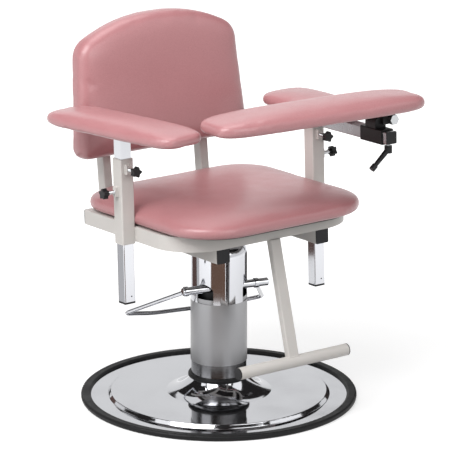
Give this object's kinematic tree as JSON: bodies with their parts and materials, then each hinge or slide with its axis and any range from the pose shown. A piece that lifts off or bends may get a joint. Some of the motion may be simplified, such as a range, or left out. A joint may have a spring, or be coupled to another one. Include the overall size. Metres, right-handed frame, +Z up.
{
  "type": "phlebotomy chair",
  "caption": "Blood-draw chair on a round hydraulic base, with a tube-framed vinyl seat and back, a height-adjustable arm pad and a flip-up arm pad across the front",
  "frame": {"origin": "centre of the floor face of the round base, on the column axis", "axes": "+Z up, -Y the way the sitter faces, +X to the sitter's left"},
  "size_m": [0.7971, 0.7479, 0.9819],
  "materials": {
    "frame_paint": "light grey powder coat, satin",
    "vinyl": "rose vinyl, soft sheen",
    "chrome": "polished",
    "satin_steel": "fine brushed",
    "zinc": "bright zinc",
    "rubber": "matt black",
    "plastic": "matt black",
    "black_paint": "black powder coat",
    "iron": "dark paint",
    "plywood": "black-stained plywood"
  },
  "bodies": {
    "base": {"ballast_plate": "iron", "base_disc": "chrome", "base_ring": "rubber", "hub_cover": "chrome", "column_bumper": "rubber", "lower_shroud": "satin_steel", "piston_rod": "satin_steel"},
    "pump": {"satin_cover": "satin_steel", "polished_cover": "chrome", "pump_body": "iron"},
    "pedal": {"pedal_shaft": "chrome", "shaft_collars": "chrome", "pedal_bar": "chrome"},
    "seat": {"swivel_spindle": "zinc", "swivel_plate": "frame_paint", "flange_bolts": "zinc", "right_rail": "frame_paint", "left_rail": "frame_paint", "rail_plugs": "plastic", "seat_frame": "frame_paint", "frame_plugs": "plastic", "rear_cross_tube": "frame_paint", "seat_board": "plywood", "seat_cushion": "vinyl", "seat_screws": "zinc", "right_upright": "frame_paint", "left_upright": "frame_paint", "upright_plugs": "plastic", "back_board": "plywood", "back_cushion": "vinyl", "back_screws": "zinc", "right_sleeve": "frame_paint", "left_sleeve": "frame_paint", "weld_nuts": "frame_paint", "footrest_post": "frame_paint", "footrest_bar": "frame_paint", "footrest_plugs": "plastic"},
    "right_arm": {"right_arm_tube": "chrome", "right_tube_plug": "plastic", "right_arm_plate": "frame_paint", "right_arm_pad": "vinyl"},
    "left_arm": {"left_arm_tube": "chrome", "left_tube_plug": "plastic", "left_arm_plate": "frame_paint", "left_arm_pad": "vinyl", "flip_rail": "chrome", "flip_rail_plugs": "plastic"},
    "carriage": {"flip_carriage": "black_paint"},
    "flip_arm": {"hinge_leaf": "black_paint", "hinge_bolt": "zinc", "hinge_nut": "zinc", "flip_pad": "vinyl"},
    "lever": {"clamp_lever": "plastic", "clamp_stud": "zinc"},
    "knob_right_front": {"right_front_knob": "plastic"},
    "knob_right_side": {"right_side_knob": "plastic"},
    "knob_left_front": {"left_front_knob": "plastic"},
    "knob_left_side": {"left_side_knob": "plastic"}
  },
  "joints": [
    {"name": "pump_lift", "type": "slide", "parent": "base", "child": "pump", "axis": [0, 0, 1], "range_m": [0, 0.15]},
    {"name": "seat_swivel", "type": "hinge", "parent": "pump", "child": "seat", "pos_m": [0, 0, 0.44], "axis": [0, 0, 1], "continuous": true},
    {"name": "pedal_press", "type": "hinge", "parent": "pump", "child": "pedal", "pos_m": [-0.00909, -0.041, 0.3085], "axis": [-0.9763, 0.2164, 0], "range_deg": [0, 20], "stiffness_Nm_per_rad": 4, "springref_deg": -20.05},
    {"name": "right_arm_height", "type": "slide", "parent": "seat", "child": "right_arm", "axis": [0, 0.0401, 0.9992], "range_m": [-0.058, 0.15]},
    {"name": "left_arm_height", "type": "slide", "parent": "seat", "child": "left_arm", "axis": [0, 0.0401, 0.9992], "range_m": [0, 0.18]},
    {"name": "carriage_slide", "type": "slide", "parent": "left_arm", "child": "carriage", "axis": [0, 0.9992, -0.0401], "range_m": [-0.014, 0.02]},
    {"name": "flip_hinge", "type": "hinge", "parent": "carriage", "child": "flip_arm", "pos_m": [0.326, -0.26595, 0.75546], "axis": [0, 0.9992, -0.0401], "range_deg": [0, 95]},
    {"name": "lever_turn", "type": "hinge", "parent": "carriage", "child": "lever", "pos_m": [0.3075, -0.30791, 0.68258], "axis": [0, 0.0401, 0.9992], "continuous": true},
    {"name": "right_front_knob_turn", "type": "hinge", "parent": "seat", "child": "knob_right_front", "pos_m": [-0.299, -0.04942, 0.6646], "axis": [0, -0.9992, 0.0401], "continuous": true},
    {"name": "left_front_knob_turn", "type": "hinge", "parent": "seat", "child": "knob_left_front", "pos_m": [0.299, -0.04942, 0.6646], "axis": [0, -0.9992, 0.0401], "continuous": true},
    {"name": "right_side_knob_turn", "type": "hinge", "parent": "seat", "child": "knob_right_side", "pos_m": [-0.345, -0.00916, 0.60553], "axis": [-1, 0, 0], "continuous": true},
    {"name": "left_side_knob_turn", "type": "hinge", "parent": "seat", "child": "knob_left_side", "pos_m": [0.345, -0.00916, 0.60553], "axis": [1, 0, 0], "continuous": true}
  ]
}
